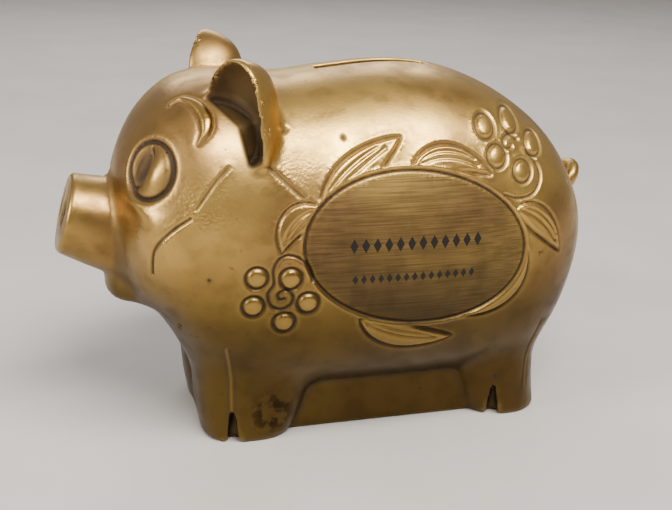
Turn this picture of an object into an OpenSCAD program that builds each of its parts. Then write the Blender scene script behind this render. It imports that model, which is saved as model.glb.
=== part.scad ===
// Cast-metal piggy bank with a keyed coin hatch in its base.
// The snout points along -X, the coin slot is on top, and the bank stands on z = 0.
// The origin is on the floor, half way between the snout and the tail.

/* [Casting] */
// Overall length, snout to tail
body_l = 164.8; // [136:0.2:200]
// Width of the trunk
trunk_w = 82; // [68:1:100]
// Height of the back above the floor
back_h = 109; // [90:1:132]
// Wall of the casting
wall = 2.2; // [1.8:0.1:3]
// How far the snout stands out in front of the face
snout_out = 15.8; // [12:0.2:20]
// Radius of the snout's flat end
snout_r = 11.6; // [9:0.2:14]
// Radius of the snout where it meets the face
snout_root_r = 15.4; // [13:0.2:18]
// How far the tail stands out behind the rump
tail_out = 3.4; // [2.6:0.2:5]
// Radius of the tail's curl, to the middle of the tail
tail_curl_r = 4.6; // [3.6:0.2:6]
// Radius of the tail itself
tail_r = 2.1; // [1.5:0.1:3]
// How far the ear tips stand above the back
ear_rise = 5.8; // [3:0.2:12]
// Distance between the ear tips
ear_tip_gap = 51; // [40:1:70]

/* [Legs] */
// Radius of a foot on the floor
foot_r = 13; // [10:0.5:15]
// Radius of a leg where it runs into the trunk
thigh_r = 16; // [14:0.5:18]
// Distance of the front feet's middle ahead of the origin
front_leg = 29.2; // [26:0.2:32]
// Distance from the front feet to the rear feet
leg_span = 83; // [70:1:96]
// Distance from the left feet to the right feet
leg_track = 25; // [20:1:30]
// Depth of the cleft in each foot
cleft_h = 10; // [6:0.5:14]

/* [Coin slot] */
// Length of the coin slot
slot_l = 34; // [28:1:40]
// Width of the coin slot
slot_w = 4.8; // [3:0.1:6]
// Distance of the slot's middle behind the origin
slot_x = 11; // [0:1:20]

/* [Base plate] */
// Thickness of the plate's and the hatch's sheet
sheet_t = 1; // [0.8:0.1:1.4]
// Height of the plate's underside above the floor
plate_z = 4.6; // [4.2:0.1:6]
// Gap all round the plate
plate_gap = 0.3; // [0.2:0.1:0.6]
// Corner radius of the plate
plate_corner = 4; // [2:0.5:6]
// Radius of a base screw's shank
screw_r = 1.4; // [1.1:0.1:1.7]
// Length of a base screw under its head
screw_l = 9; // [7:0.5:12]
// Radius of a base screw's head
screw_head_r = 2.5; // [2.2:0.1:2.8]
// Height of a base screw's head
screw_head_h = 1.6; // [1.2:0.1:2]
// How far a screw's boss runs into the wall beside it
boss_sink = 0.7; // [0.5:0.1:1.2]
// Distance of a screw from the two edges of the plate
screw_inset = 3.2; // [3:0.1:3.6]

/* [Hatch] */
// Length of the opening in the plate
hatch_l = 44; // [37:1:52]
// Width of the opening in the plate
hatch_w = 26; // [22:0.5:31]
// Width of the strip of plate on each side of the opening
hatch_border = 4.3; // [3.6:0.1:5.2]
// How far the door laps over the plate
hatch_lap = 2.4; // [1.5:0.1:2.6]
// Gap between the door and the plate
door_gap = 0.2; // [0.2:0.05:0.5]
// Corner radius of the door and of the opening
hatch_corner = 2; // [1:0.5:4]

/* [Hinge] */
// Radius of the hinge pin
pin_r = 0.7; // [0.5:0.05:0.85]
// How much larger the rolled knuckles' radius is than the pin's
knuckle_wall = 0.7; // [0.5:0.05:0.8]
// Length of the door's knuckle along the pin
knuckle_l = 10; // [6:0.5:12]
// Length of each lug of the plate along the pin
lug_l = 3; // [2:0.5:4]

/* [Lock] */
// Wall of the barrel round the plug
barrel_wall = 1.8; // [1.5:0.1:2.2]
// Depth of each of the barrel's two flats
flat_deep = 0.6; // [0.4:0.1:0.8]
// Length of the barrel above the door's outer face
barrel_l = 8; // [7.2:0.1:10]
// How far the barrel's head laps over the door
bezel_lap = 1.6; // [1.2:0.1:2]
// Height of the barrel's head
bezel_h = 1.5; // [1.2:0.1:1.8]
// Radius of the turning plug
plug_r = 3.2; // [2.7:0.05:3.8]
// Width of the keyway
keyway_w = 1.1; // [0.8:0.1:1.4]
// Plug left beyond each end of the keyway
keyway_wall = 1.3; // [1:0.1:1.6]
// Thickness of a wafer
wafer_t = 0.6; // [0.5:0.05:0.7]
// Distance from one wafer to the next
wafer_pitch = 1.4; // [1.2:0.1:1.5]
// Wall of the nut at its flats
nut_wall = 1.3; // [1:0.1:1.6]
// Thickness of the nut
nut_t = 2.2; // [1.8:0.1:3]
// Gap between the open cam and the side of the opening
cam_gap = 0.6; // [0.4:0.1:1]
// How far the shut cam laps over the plate
cam_lap = 2.4; // [1.8:0.1:2.6]
// Width of the cam
cam_w = 5; // [4:0.5:6]
// Thickness of the cam
cam_t = 1; // [0.8:0.1:1.4]
// Width of the square that drives the cam
drive_w = 3; // [2.6:0.1:3.4]

/* [Fits] */
// Radial clearance of a piece that turns
turn_fit = 0.05; // [0.02:0.01:0.09]
// Clearance of a piece that is only assembled
slip_fit = 0.1; // [0.05:0.05:0.2]

/* [Hidden] */
$fn = 48;

brass = "#9c7a3c";
steel = "#a8a8a4";
zinc = "#c2c4c6";
blade_brass = "#c8a24c";

// Trunk and head: each station is the distance behind the face, the heights of the top,
// of the underside and of the widest point, and half the width, at the sizes below.
drawn_l = 145.6;
drawn_w = 82;
drawn_h = 109;
stations = [
    [0, 74, 58, 66, 4],
    [2, 82.5, 50, 66, 15],
    [6.5, 92.5, 41, 66, 25],
    [12.5, 100, 36.5, 67, 31.5],
    [19.5, 105, 25.5, 67, 35.5],
    [27.5, 107.2, 16, 66, 37.5],
    [37.5, 107.2, 12, 64, 38.5],
    [49.5, 106, 11, 61, 39.5],
    [63.5, 107.6, 11, 60, 40.5],
    [81.5, 109, 11, 60, 41],
    [97.5, 107.4, 11, 60, 40.5],
    [111.5, 102.6, 11, 60, 39],
    [123.5, 95.5, 12, 60, 36],
    [132.5, 87.5, 20.5, 59, 31],
    [139.5, 77, 36.5, 58, 23],
    [143.6, 67.5, 47.5, 57, 13.5],
    [145.6, 61, 51, 56, 4],
];
trunk_x0 = -body_l / 2 + snout_out;
trunk_l = body_l - snout_out - tail_out;
trunk_mid = trunk_x0 + trunk_l / 2;
kx = trunk_l / drawn_l;
ky = trunk_w / drawn_w;
kz = back_h / drawn_h;
belly_z = 11 * kz;
outer_rings = 40;
outer_sides = 40;
inner_rings = 30;
inner_sides = 32;

// Snout: a blunt cone that points forwards and a little upwards.
snout_tilt = 15;
snout_edge = 1.6;
snout_len = 16.4;
snout_root_l = 8;
snout_dome = 0.8;
snout_front = 5;
snout_z = 62.6 * kz;
snout_reach = snout_len * cos(snout_tilt) + (snout_r - snout_edge) * sin(snout_tilt);
snout_x = -body_l / 2 + snout_reach;
nostril_r = 1.5;
nostril_y = 4.6;
nostril_deep = 3;

// Tail: a curl laid against the rump.
tail_tilt = 35;
tail_x = body_l / 2 - tail_curl_r * sin(tail_tilt) - tail_r;
tail_z = 70 * kz;

// Lower lip
lip_r = 7;
lip_x = trunk_x0 + 5.4 * kx;
lip_z = 45.5 * kz;

// Ears: the leaf is drawn round a row of balls and the tip, and other balls hollow its
// front. Each ball is [behind ear_x, from the middle, above ear_root_z, radius].
ear_x = trunk_x0 + 34 * kx;
ear_root_z = 97 * kz;
ear_tip_z = back_h + ear_rise;
ear_tip_r = 1.4;
ear_tip_lead = 2;
ear_sides = 16;
ear_leaf = [[-5, 17, 6, 3.4], [7, 19, 5, 4], [4, 33, -7, 2.6], [5, 30, 4, 3]];
ear_hollow = [[-7.5, 25, 9, 3.4], [-4.5, 31.5, -1, 3], [-10, 33, 3, 4]];

// Legs and skirt: the skirt is as wide as the plate's opening and borders make it.
front_x = -front_leg;
rear_x = front_x + leg_span;
leg_rise = 22;
leg_h = belly_z + leg_rise;
cleft_w = 1.4;
cleft_deep = 2;
cleft_turn = 115;
skirt_w = hatch_w + 2 * (hatch_border + plate_gap + wall);
skirt_tuck = 2;
skirt_rise = 8;
skirt_x0 = front_x - foot_r;
skirt_x1 = rear_x + foot_r - skirt_tuck;
skirt_l = skirt_x1 - skirt_x0;
skirt_mid = (skirt_x0 + skirt_x1) / 2;
skirt_h = belly_z + skirt_rise;
skirt_corner = 6;
box_rise = 6;
box_w = skirt_w - 2 * wall;
box_l = skirt_l - 2 * wall;
box_h = belly_z + wall + box_rise;

// Coin slot: it is cut from inside the cavity upwards.
slot_base_z = 0.75 * back_h;

// Plate and screws
plate_w = box_w - 2 * plate_gap;
plate_l = box_l - 2 * plate_gap;
plate_top = plate_z + sheet_t;
screw_dx = plate_l / 2 - screw_inset;
screw_dy = plate_w / 2 - screw_inset;
pilot_r = screw_r + turn_fit;
clear_r = screw_r + 2 * slip_fit;
pilot_spare = 1;
pilot_l = screw_l + pilot_spare;
boss_r = screw_inset + plate_gap + boss_sink;
boss_cap = 1.5;
boss_top = plate_top + pilot_l + boss_cap;
screw_tip_r = 0.3;
head_bevel = 0.5;
cross_l = 1.3;
cross_w = 0.22;

// Hatch and hinge: the pin runs across the plate in front of the opening.
hatch_x0 = skirt_mid - hatch_l / 2;
hatch_x1 = skirt_mid + hatch_l / 2;
door_top = plate_z - door_gap;
door_z = door_top - sheet_t;
knuckle_r = pin_r + knuckle_wall;
hinge_z = door_top - knuckle_r;
hinge_play = 0.4;
door_x0 = hatch_x0 - hatch_lap;
door_x1 = hatch_x1 + hatch_lap;
hinge_x = door_x0 - knuckle_r - hinge_play;
door_w = hatch_w + 2 * hatch_lap;
knuckle_bore = pin_r + turn_fit;
lug_gap = 0.2;
lug_y = knuckle_l / 2 + lug_gap;
pin_head_r = pin_r + 0.4;
pin_head_h = 0.5;

// Lock: everything in it is stacked on one upright axis. The cam clears the sides of the
// opening, and turned to the free edge it laps over the plate there.
cam_reach = hatch_w / 2 - cam_gap;
lock_x = hatch_x1 - cam_reach + cam_lap;
barrel_r = plug_r + barrel_wall;
barrel_flats = 2 * (barrel_r - flat_deep);
bezel_r = barrel_r + bezel_lap;
bezel_bevel = 0.6;
bezel_z = door_z - bezel_h;
barrel_top = door_z + barrel_l;
plug_bore = plug_r + turn_fit;
washer_t = 0.5;
washer_z = door_top;
washer_outer = barrel_r + 1.2;
washer_tooth = 1;
washer_teeth = 12;
nut_z = washer_z + washer_t;
nut_r = 2 * (barrel_r + nut_wall) / sqrt(3);
thread_r = barrel_r + slip_fit;
plug_face = bezel_z + 0.1;
plug_head_r = plug_r + 1.1;
plug_head_h = 0.9;
plug_seat_z = plug_face + plug_head_h + 0.05;
plug_top = barrel_top + 0.15;
keyway_h = 2 * (plug_r - keyway_wall);
groove_w = 3;
groove_deep = 0.7;
groove_lead = 0.4;
wafer_w = 0.75 * plug_r;
wafer_h = 2 * plug_r - 0.7;
wafer_lead = 2.4;
wafer_z0 = plug_face + wafer_lead;
keyway_l = wafer_lead + 4 * wafer_pitch;
wafer_window_w = keyway_w + 0.3;
wafer_web = 0.85;
wafer_window_h = wafer_h - 2 * wafer_web;
wafer_cuts = [-0.4, 0.2, -0.1, 0.4];
shoulder_w = 0.9;
shoulder_l = 0.8;
pocket_x = -0.625 * plug_r;
pocket_y = wafer_w / 2 + 0.45;
pocket_r = 0.5;
spring_coil_r = 0.31;
spring_wire_r = 0.09;
spring_turns = 5;
spring_end_gap = 0.03;
spring_steps = 10;
spring_sides = 6;
cam_z = plug_top + 0.1;
drive_h = cam_t + 0.2;
foot_clear = 0.3;
cam_foot_z = plate_top + foot_clear;
cam_drop_r = nut_r + 0.6;
cam_hub_rim = 0.8;
cam_screw_r = 0.9;
cam_screw_l = 2.4;
cam_screw_spare = 0.3;
cam_screw_head_r = 2;
cam_screw_head_h = 1.1;
cam_washer_r = 2.6;
cam_washer_t = 0.4;
cam_washer_z = plug_top + drive_h + 0.05;
over = 1;

// A point of the curve through p1 and p2, with p0 and p3 as their neighbours
function curve(p0, p1, p2, p3, t) =
    0.5 * (2 * p1 + (p2 - p0) * t + (2 * p0 - 5 * p1 + 4 * p2 - p3) * t * t
           + (3 * p1 - p0 - 3 * p2 + p3) * t * t * t);

// The station a share u of the way along the list
function station(u) =
    let (last = len(stations) - 1, at = u * last, i = min(floor(at), last - 1),
         before = stations[max(i - 1, 0)], after = stations[min(i + 2, last)])
    curve(before, stations[i], stations[i + 1], after, at - i);

// The same station at the part's own size, moved inwards by w
function sized(s, w) =
    let (x = trunk_x0 + s[0] * kx, share = (trunk_l / 2 - w) / (trunk_l / 2), mid = s[3] * kz)
    [trunk_mid + (x - trunk_mid) * share, max(s[1] * kz - w, mid + 0.5),
     min(s[2] * kz + w, mid - 0.5), mid, max(s[4] * ky - w, 0.6)];

function power(v, p) = sign(v) * pow(abs(v), p);

// The points round one station: a full oval, a little squarer below than above
function ring(s, sides) =
    [for (i = [0 : sides - 1])
        let (a = 360 * i / sides, p = sin(a) >= 0 ? 2 / 2.15 : 2 / 2.3,
             rise = sin(a) >= 0 ? s[1] - s[3] : s[3] - s[2])
        [s[0], s[4] * power(cos(a), p), s[3] + rise * power(sin(a), p)]];

// Trunk and head as one closed skin, w inside the outer surface
module trunk(w, rings, sides) {
    points = [for (j = [0 : rings]) each ring(sized(station(j / rings), w), sides)];
    skin = [for (j = [0 : rings - 1], i = [0 : sides - 1])
        let (a = j * sides + i, b = j * sides + (i + 1) % sides)
        each [[a, b + sides, b], [a, a + sides, b + sides]]];
    front = [[for (i = [0 : sides - 1]) i]];
    back = [[for (i = [sides - 1 : -1 : 0]) rings * sides + i]];
    polyhedron(points, concat(skin, front, back), convexity = 4);
}

// A flat plate with round corners, centred on x and y
module round_plate(l, w, r, h) {
    linear_extrude(h)
    union() {
        square([l - 2 * r, w], center = true);
        square([l, w - 2 * r], center = true);
        for (x = [-1, 1], y = [-1, 1])
            translate([x * (l / 2 - r), y * (w / 2 - r)]) circle(r);
    }
}

// A bar along Y, centred on the hinge's axis
module hinge_bar(r, l) {
    translate([hinge_x, 0, hinge_z]) rotate([90, 0, 0]) cylinder(r = r, h = l, center = true);
}

// Snout: its outline is turned about its own axis
module snout() {
    edge = [for (a = [0 : 15 : 90])
        [snout_r - snout_edge * (1 - cos(a)), snout_len - snout_edge * (1 - sin(a))]];
    tip = [[0, snout_len + snout_dome]];
    translate([snout_x, 0, snout_z]) rotate([0, snout_tilt - 90, 0])
        difference() {
            rotate_extrude()
                polygon(concat([[0, -snout_root_l], [snout_root_r, -snout_root_l]], edge, tip));
            for (y = [-1, 1])
                translate([0, y * nostril_y, snout_len - nostril_deep])
                    cylinder(r = nostril_r, h = nostril_deep + snout_dome + over);
        }
}

module ear_ball(b) {
    translate([ear_x + b[0], b[1] * ky, ear_root_z + b[2]]) sphere(b[3], $fn = ear_sides);
}

// Ear: a thick leaf from the side of the head to the tip, hollowed in front
module ear() {
    difference() {
        hull() {
            for (b = ear_leaf) ear_ball(b);
            translate([ear_x - ear_tip_lead, ear_tip_gap / 2, ear_tip_z - ear_tip_r])
                sphere(ear_tip_r, $fn = ear_sides);
        }
        hull() for (b = ear_hollow) ear_ball(b);
    }
}

// Leg: a cone up into the trunk, with a cleft at the outer front
module leg(side) {
    translate([0, side * leg_track / 2, 0])
        difference() {
            cylinder(r1 = foot_r, r2 = thigh_r, h = leg_h);
            rotate([0, 0, side * cleft_turn])
                translate([foot_r - cleft_deep, -cleft_w / 2, -over])
                    cube([cleft_deep + thigh_r - foot_r + over, cleft_w, cleft_h + over]);
        }
}

module slot_cutter() {
    translate([slot_x - slot_l / 2, -slot_w / 2, slot_base_z]) cube([slot_l, slot_w, back_h]);
}

module body_casting() {
    color(brass)
    difference() {
        union() {
            difference() {
                union() {
                    trunk(0, outer_rings, outer_sides);
                    snout();
                    translate([lip_x, 0, lip_z]) sphere(lip_r);
                    translate([tail_x, 0, tail_z]) rotate([0, 90 - tail_tilt, 0])
                        rotate_extrude() translate([tail_curl_r, 0]) circle(tail_r);
                    ear();
                    mirror([0, 1, 0]) ear();
                    for (x = [front_x, rear_x], side = [-1, 1]) translate([x, 0, 0]) leg(side);
                    translate([skirt_mid, 0, 0]) round_plate(skirt_l, skirt_w, skirt_corner, skirt_h);
                }
                trunk(wall, inner_rings, inner_sides);
                translate([snout_x, 0, snout_z]) rotate([0, snout_tilt - 90, 0])
                    translate([0, 0, -snout_root_l - over])
                        cylinder(r = snout_r - 2 * wall, h = snout_len + snout_root_l - snout_front);
                translate([skirt_mid, 0, -over])
                    round_plate(box_l, box_w, plate_corner + plate_gap, box_h + over);
            }
            for (x = [-1, 1], y = [-1, 1])
                translate([skirt_mid + x * screw_dx, y * screw_dy, plate_top])
                    cylinder(r = boss_r, h = boss_top - plate_top);
        }
        for (x = [-1, 1], y = [-1, 1])
            translate([skirt_mid + x * screw_dx, y * screw_dy, plate_top - over])
                cylinder(r = pilot_r, h = pilot_l + over);
        slot_cutter();
    }
}

module base_plate() {
    color(steel)
    union() {
        difference() {
            translate([skirt_mid, 0, plate_z]) round_plate(plate_l, plate_w, plate_corner, sheet_t);
            translate([skirt_mid, 0, plate_z - over])
                round_plate(hatch_l, hatch_w, hatch_corner, sheet_t + 2 * over);
            for (x = [-1, 1], y = [-1, 1])
                translate([skirt_mid + x * screw_dx, y * screw_dy, plate_z - over])
                    cylinder(r = clear_r, h = sheet_t + 2 * over);
        }
        for (side = [-1, 1])
            difference() {
                union() {
                    translate([0, side * (lug_y + lug_l / 2), 0]) hinge_bar(knuckle_r, lug_l);
                    translate([hinge_x - sheet_t / 2, side * (lug_y + lug_l / 2) - lug_l / 2, hinge_z])
                        cube([sheet_t, lug_l, plate_z + sheet_t / 2 - hinge_z]);
                }
                translate([0, side * (lug_y + lug_l / 2), 0]) hinge_bar(knuckle_bore, lug_l + over);
            }
    }
}

// One pan-head screw, point upwards, with a cross slot
module pan_screw(r, l, head_r, head_h) {
    difference() {
        union() {
            cylinder(r = r, h = l - r);
            translate([0, 0, l - r]) cylinder(r1 = r, r2 = screw_tip_r, h = r);
            translate([0, 0, -head_h])
                cylinder(r1 = head_r - head_bevel, r2 = head_r, h = head_bevel);
            translate([0, 0, head_bevel - head_h]) cylinder(r = head_r, h = head_h - head_bevel);
        }
        for (turn = [0, 90])
            rotate([0, 0, turn]) translate([0, 0, -head_h])
                cube([cross_l * head_r, cross_w * head_r, head_h], center = true);
    }
}

module base_screws() {
    color(zinc)
    for (x = [-1, 1], y = [-1, 1])
        translate([skirt_mid + x * screw_dx, y * screw_dy, plate_z])
            pan_screw(screw_r, screw_l, screw_head_r, screw_head_h);
}

module hinge_pin() {
    color(zinc)
    union() {
        hinge_bar(pin_r, 2 * (lug_y + lug_l + lug_gap));
        for (side = [-1, 1])
            translate([0, side * (lug_y + lug_l + lug_gap + pin_head_h / 2), 0])
                hinge_bar(pin_head_r, pin_head_h);
    }
}

// The barrel's outline, grown by gap: a circle with two flats
module double_d(r, flats, gap) {
    intersection() {
        circle(r + gap);
        square([2 * r + 2 * over, flats + 2 * gap], center = true);
    }
}

module hatch_door() {
    color(steel)
    difference() {
        union() {
            translate([(door_x0 + door_x1) / 2, 0, door_z])
                round_plate(door_x1 - door_x0, door_w, hatch_corner, sheet_t);
            translate([hinge_x, -knuckle_l / 2, door_z])
                cube([door_x0 - hinge_x + hatch_corner, knuckle_l, sheet_t]);
            hinge_bar(knuckle_r, knuckle_l);
        }
        hinge_bar(knuckle_bore, knuckle_l + over);
        translate([lock_x, 0, door_z - over])
            linear_extrude(sheet_t + 2 * over) double_d(barrel_r, barrel_flats, slip_fit);
    }
}

module lock_barrel() {
    color(zinc)
    difference() {
        union() {
            translate([lock_x, 0, bezel_z])
                cylinder(r1 = bezel_r - bezel_bevel, r2 = bezel_r, h = bezel_bevel);
            translate([lock_x, 0, bezel_z + bezel_bevel])
                cylinder(r = bezel_r, h = bezel_h - bezel_bevel);
            translate([lock_x, 0, door_z]) linear_extrude(barrel_l) double_d(barrel_r, barrel_flats, 0);
        }
        translate([lock_x, 0, bezel_z - over]) cylinder(r = plug_bore, h = barrel_l + bezel_h + 2 * over);
        translate([lock_x, 0, bezel_z - over])
            cylinder(r = plug_head_r + turn_fit, h = plug_seat_z - bezel_z + over);
        translate([lock_x - plug_bore - groove_deep, -groove_w / 2, wafer_z0 - groove_lead])
            cube([2 * (plug_bore + groove_deep), groove_w, 4 * wafer_pitch]);
    }
}

module barrel_washer() {
    color(zinc)
    translate([lock_x, 0, washer_z])
    difference() {
        union() {
            cylinder(r = washer_outer - washer_tooth / 2, h = washer_t);
            for (i = [1 : washer_teeth])
                rotate([0, 0, i * 360 / washer_teeth])
                    translate([washer_outer - washer_tooth, -washer_tooth / 2, 0])
                        cube([washer_tooth, washer_tooth, washer_t]);
        }
        translate([0, 0, -over]) cylinder(r = thread_r, h = washer_t + 2 * over);
    }
}

module barrel_nut() {
    color(zinc)
    translate([lock_x, 0, nut_z])
    difference() {
        cylinder(r = nut_r, h = nut_t, $fn = 6);
        translate([0, 0, -over]) cylinder(r = thread_r, h = nut_t + 2 * over);
    }
}

function wafer_z(i) = wafer_z0 + i * wafer_pitch;

module lock_plug() {
    color(blade_brass)
    translate([lock_x, 0, 0])
    difference() {
        union() {
            translate([0, 0, plug_face]) cylinder(r = plug_r, h = plug_top - plug_face);
            translate([0, 0, plug_face]) cylinder(r = plug_head_r, h = plug_head_h);
            translate([-drive_w / 2, -drive_w / 2, plug_top - over])
                cube([drive_w, drive_w, drive_h + over]);
        }
        translate([-keyway_h / 2, -keyway_w / 2, plug_face - over])
            cube([keyway_h, keyway_w, keyway_l + over]);
        for (i = [0 : 3]) {
            translate([-plug_r - over, -wafer_w / 2 - slip_fit / 2, wafer_z(i) - slip_fit / 2])
                cube([2 * (plug_r + over), wafer_w + slip_fit, wafer_t + slip_fit]);
            translate([pocket_x, 0, wafer_z(i) - slip_fit / 2])
                cube([-2 * pocket_x, wafer_w / 2 + shoulder_w + slip_fit / 2, wafer_t + slip_fit]);
            translate([pocket_x, pocket_y, wafer_z(i) + wafer_t / 2])
                rotate([0, 90, 0]) cylinder(r = pocket_r, h = -2 * pocket_x);
        }
        translate([0, 0, plug_top + drive_h - cam_screw_l])
            cylinder(r = cam_screw_r + turn_fit, h = cam_screw_l + over);
    }
}

// One wafer: a flat plate with a window for the key, cut at its own height, and a
// shoulder at one side for its spring
module wafer(i) {
    color(blade_brass)
    translate([lock_x, 0, wafer_z(i)])
    difference() {
        union() {
            translate([-wafer_h / 2, -wafer_w / 2, 0]) cube([wafer_h, wafer_w, wafer_t]);
            cube([shoulder_l, wafer_w / 2 + shoulder_w, wafer_t]);
        }
        translate([wafer_cuts[i] - wafer_window_h / 2, -wafer_window_w / 2, -over])
            cube([wafer_window_h, wafer_window_w, wafer_t + 2 * over]);
    }
}

// The centre of a coil spring's wire a share u of the way along +X
function coil(u, l) =
    let (a = 360 * spring_turns * u) [l * u, spring_coil_r * cos(a), spring_coil_r * sin(a)];

// A round wire that follows the coil, from x = wire_r to x = l - wire_r
module coil_spring(l) {
    steps = spring_turns * spring_steps;
    run = l - 2 * spring_wire_r;
    points = [for (j = [0 : steps])
        let (c = coil(j / steps, run), a = 360 * spring_turns * j / steps)
        for (i = [0 : spring_sides - 1])
            let (b = 360 * i / spring_sides, out = spring_wire_r * cos(b))
            [c[0] + spring_wire_r * (1 + sin(b)), c[1] + out * cos(a), c[2] + out * sin(a)]];
    skin = [for (j = [0 : steps - 1], i = [0 : spring_sides - 1])
        let (a = j * spring_sides + i, b = j * spring_sides + (i + 1) % spring_sides)
        each [[a, b, b + spring_sides], [a, b + spring_sides, a + spring_sides]]];
    start = [[for (i = [spring_sides - 1 : -1 : 0]) i]];
    end = [[for (i = [0 : spring_sides - 1]) steps * spring_sides + i]];
    polyhedron(points, concat(skin, start, end), convexity = 8);
}

module wafer_springs() {
    color(steel)
    for (i = [0 : 3])
        translate([lock_x + pocket_x + spring_end_gap, pocket_y, wafer_z(i) + wafer_t / 2])
            coil_spring(-pocket_x - 2 * spring_end_gap);
}

module lock_cam() {
    color(steel)
    translate([lock_x, 0, 0])
    difference() {
        union() {
            translate([0, 0, cam_z]) cylinder(r = cam_w / 2 + cam_hub_rim, h = cam_t);
            translate([-cam_w / 2, 0, cam_z]) cube([cam_w, cam_drop_r + cam_t, cam_t]);
            translate([-cam_w / 2, cam_drop_r, cam_foot_z])
                cube([cam_w, cam_t, cam_z + cam_t - cam_foot_z]);
            translate([-cam_w / 2, cam_drop_r, cam_foot_z])
                cube([cam_w, cam_reach - cam_drop_r, cam_t]);
        }
        translate([-drive_w / 2 - slip_fit / 2, -drive_w / 2 - slip_fit / 2, cam_z - over])
            cube([drive_w + slip_fit, drive_w + slip_fit, cam_t + 2 * over]);
    }
}

module cam_washer() {
    color(zinc)
    translate([lock_x, 0, cam_washer_z])
    difference() {
        cylinder(r = cam_washer_r, h = cam_washer_t);
        translate([0, 0, -over]) cylinder(r = cam_screw_r + slip_fit, h = cam_washer_t + 2 * over);
    }
}

module cam_screw() {
    color(zinc)
    translate([lock_x, 0, cam_washer_z + cam_washer_t]) mirror([0, 0, 1])
        pan_screw(cam_screw_r, cam_screw_l + cam_washer_t - cam_screw_spare, cam_screw_head_r,
                  cam_screw_head_h);
}

body_casting();
base_plate();
base_screws();
hinge_pin();
hatch_door();
lock_barrel();
barrel_washer();
barrel_nut();
lock_plug();
wafer(0);  // wafer_1
wafer(1);  // wafer_2
wafer(2);  // wafer_3
wafer(3);  // wafer_4
wafer_springs();
lock_cam();
cam_washer();
cam_screw();
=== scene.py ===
import math

import bpy
import numpy as np
from mathutils import Matrix, Vector


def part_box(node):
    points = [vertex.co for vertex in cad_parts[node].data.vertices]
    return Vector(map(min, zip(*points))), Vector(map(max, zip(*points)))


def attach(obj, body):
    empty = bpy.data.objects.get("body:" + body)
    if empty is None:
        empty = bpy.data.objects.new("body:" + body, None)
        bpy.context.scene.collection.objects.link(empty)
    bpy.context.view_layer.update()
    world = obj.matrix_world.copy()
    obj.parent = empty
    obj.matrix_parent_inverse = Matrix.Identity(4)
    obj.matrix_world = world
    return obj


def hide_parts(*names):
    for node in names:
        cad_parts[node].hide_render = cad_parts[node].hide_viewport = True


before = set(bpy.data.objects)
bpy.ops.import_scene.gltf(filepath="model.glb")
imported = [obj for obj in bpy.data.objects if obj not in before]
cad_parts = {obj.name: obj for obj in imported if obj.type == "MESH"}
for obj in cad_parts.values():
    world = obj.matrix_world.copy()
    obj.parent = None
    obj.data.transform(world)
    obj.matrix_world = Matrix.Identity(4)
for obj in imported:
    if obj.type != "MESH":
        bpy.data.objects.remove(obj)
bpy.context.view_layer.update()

MM = 0.001

# ---------------------------------------------------------------- sizes of the casting, mm
BODY_LO = np.array(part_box("body_casting")[0]) / MM
BODY_HI = np.array(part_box("body_casting")[1]) / MM
PLATE_LO = np.array(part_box("base_plate")[0]) / MM
PLATE_HI = np.array(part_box("base_plate")[1]) / MM

WALL = 2.2
SNOUT_OUT = 15.8
FACE_X = BODY_LO[0] + SNOUT_OUT
# Stations of the trunk: behind the face, top, underside, height of the widest, half width
STATIONS = np.array([
    [0, 74, 58, 66, 4], [2, 82.5, 50, 66, 15], [6.5, 92.5, 41, 66, 25],
    [12.5, 100, 36.5, 67, 31.5], [19.5, 105, 25.5, 67, 35.5], [27.5, 107.2, 16, 66, 37.5],
    [37.5, 107.2, 12, 64, 38.5], [49.5, 106, 11, 61, 39.5], [63.5, 107.6, 11, 60, 40.5],
    [81.5, 109, 11, 60, 41], [97.5, 107.4, 11, 60, 40.5], [111.5, 102.6, 11, 60, 39],
    [123.5, 95.5, 12, 60, 36], [132.5, 87.5, 20.5, 59, 31], [139.5, 77, 36.5, 58, 23],
    [143.6, 67.5, 47.5, 57, 13.5], [145.6, 61, 51, 56, 4]])
ABOVE, BELOW = 2.15, 2.3

SNOUT_TILT = math.radians(15)
SNOUT_R, SNOUT_ROOT_R, SNOUT_LEN, SNOUT_ROOT = 11.6, 15.4, 16.4, 8.0
SNOUT_X = BODY_LO[0] + SNOUT_LEN * math.cos(SNOUT_TILT) + (SNOUT_R + 0.7) * math.sin(SNOUT_TILT)
SNOUT_Z = 62.6
# How far the disc bulges forward, and the snout's root downwards
SNOUT_DOME, SNOUT_CHIN = 0.8, 1.6
NOSTRIL_Y, NOSTRIL_V, NOSTRIL_HALF = 4.4, 1.2, (2.6, 1.7, 3.1)

FRONT_X, REAR_X, FOOT_Y, FOOT_R = -29.2, 53.8, 12.5, 13.0
SKIRT_X = (PLATE_LO[0] + PLATE_HI[0]) / 2
SKIRT_L, SKIRT_W, SKIRT_H = 53.5, 19.8, 19.0
BOX_L, BOX_W, BOX_H = 51.3, 17.6, 19.2
SLOT_X, SLOT_L, SLOT_W, SLOT_Z = 11.0, 17.0, 2.4, 81.8
BOSS_X, BOSS_Y, BOSS_R, BOSS_Z0, BOSS_Z1, PILOT_R, PILOT_Z1 = 47.8, 14.1, 4.2, 5.6, 17.1, 1.45, 15.6
CLEFT_TURN = math.radians(115)
CLEFT_W, CLEFT_OUT, CLEFT_TOP = 1.7, 10.6, 11
LEG_TOP = 30
TAIL_TILT, TAIL_R, TAIL_HALF, TAIL_Z = math.radians(35), 4.6, 2.1, 70

EAR_LOW = np.array([-29.5, -32.5, 88.5])
EAR_TIP = np.array([-34.4, -26.0, 114.6])
EAR_OPEN = np.array([-0.86, -0.51, 0.0])
# Outline of the ear on its own plane, (up, outwards), anticlockwise
EAR_EDGE = np.array([[13.2, 4.0], [7.0, 7.6], [-1.0, 7.8], [-9.0, 6.2], [-17.0, 4.0],
                     [-15.0, -10], [-4.0, -17], [6.0, -15], [12.0, -9.8], [14.8, -1.5]])
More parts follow.
